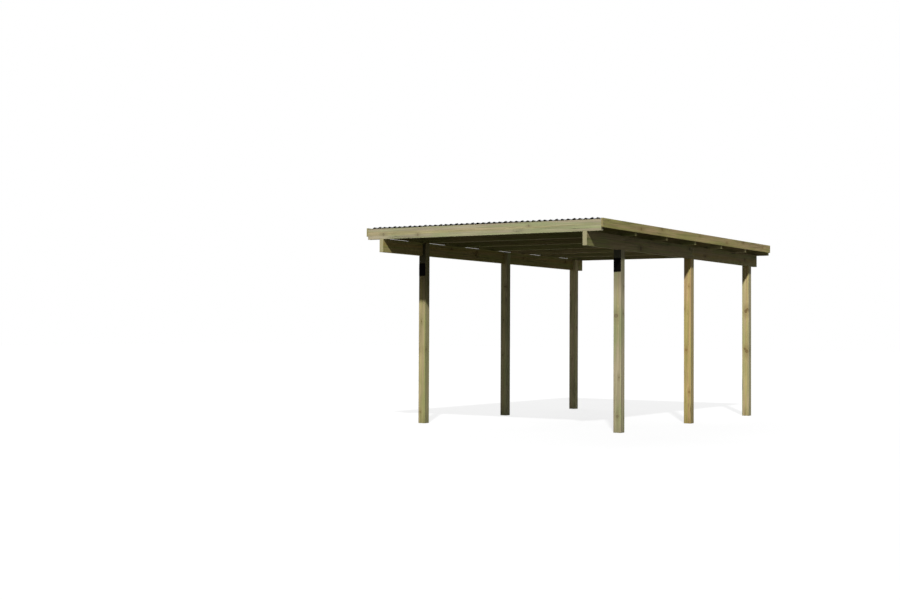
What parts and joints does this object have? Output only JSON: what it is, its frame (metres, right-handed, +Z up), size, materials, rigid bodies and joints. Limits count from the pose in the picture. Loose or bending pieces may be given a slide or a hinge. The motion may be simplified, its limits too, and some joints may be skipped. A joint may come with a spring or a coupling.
{
  "type": "open timber carport",
  "caption": "Open-sided single carport: square posts carry two long beams, cross rafters and a nearly flat roof of dark corrugated sheets between side boards.",
  "frame": {"origin": "on the ground, at the middle of the roof's plan", "axes": "+X to the right seen from the front, +Y to the rear, +Z up"},
  "size_m": [3, 4.8016, 2.2623],
  "materials": {
    "post_timber": "planed pressure-treated pine, dull",
    "beam_timber": "planed pressure-treated pine, dull",
    "rafter_timber": "planed pressure-treated pine, dull",
    "board_timber": "planed pressure-treated pine, dull",
    "roof_sheet": "dark weathered corrugated plastic",
    "screw_cap": "black plastic caps",
    "black_plate": "matt black paint"
  },
  "bodies": {
    "root": {"post_left_front": "post_timber", "post_left_middle": "post_timber", "post_left_rear": "post_timber", "post_right_front": "post_timber", "post_right_middle": "post_timber", "post_right_rear": "post_timber", "beam_left_front": "beam_timber", "beam_left_rear": "beam_timber", "beam_right_front": "beam_timber", "beam_right_rear": "beam_timber", "rafter_1": "rafter_timber", "rafter_2": "rafter_timber", "rafter_3": "rafter_timber", "rafter_4": "rafter_timber", "rafter_5": "rafter_timber", "rafter_6": "rafter_timber", "rafter_7": "rafter_timber", "side_board_left": "board_timber", "side_board_right": "board_timber", "roof_sheet_left": "roof_sheet", "roof_sheet_middle": "roof_sheet", "roof_sheet_right": "roof_sheet", "roof_screws": "screw_cap", "plate_left": "black_plate", "plate_right": "black_plate"}
  },
  "joints": []
}
